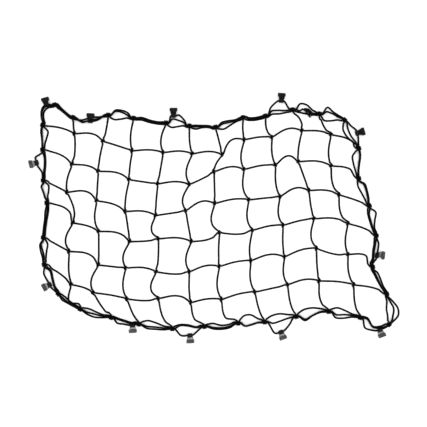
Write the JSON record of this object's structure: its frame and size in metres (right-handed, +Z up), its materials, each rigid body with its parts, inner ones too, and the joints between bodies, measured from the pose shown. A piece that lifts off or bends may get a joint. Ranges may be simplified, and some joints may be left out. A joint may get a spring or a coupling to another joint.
{
  "type": "cargo net",
  "caption": "Flat knotted mesh of elastic cord with a loose doubled border cord that carries fan-shaped hooks, for holding down loads.",
  "frame": {"origin": "under the middle of the whole net and its hooks, on the surface that it lies on", "axes": "+X along the long far edge, +Y from the near edge to the far edge, +Z up from the surface"},
  "size_m": [1.2354, 0.8334, 0.0218],
  "materials": {
    "elastic_cord": "braided black polyester sheath, slight sheen",
    "moulded_hook": "semi-gloss black nylon"
  },
  "bodies": {
    "root": {"net": "elastic_cord", "border_cord": "elastic_cord", "hook_01": "moulded_hook", "hook_02": "moulded_hook", "hook_03": "moulded_hook", "hook_04": "moulded_hook", "hook_05": "moulded_hook", "hook_06": "moulded_hook", "hook_07": "moulded_hook", "hook_08": "moulded_hook", "hook_09": "moulded_hook", "hook_10": "moulded_hook", "hook_11": "moulded_hook", "hook_12": "moulded_hook"}
  },
  "joints": []
}
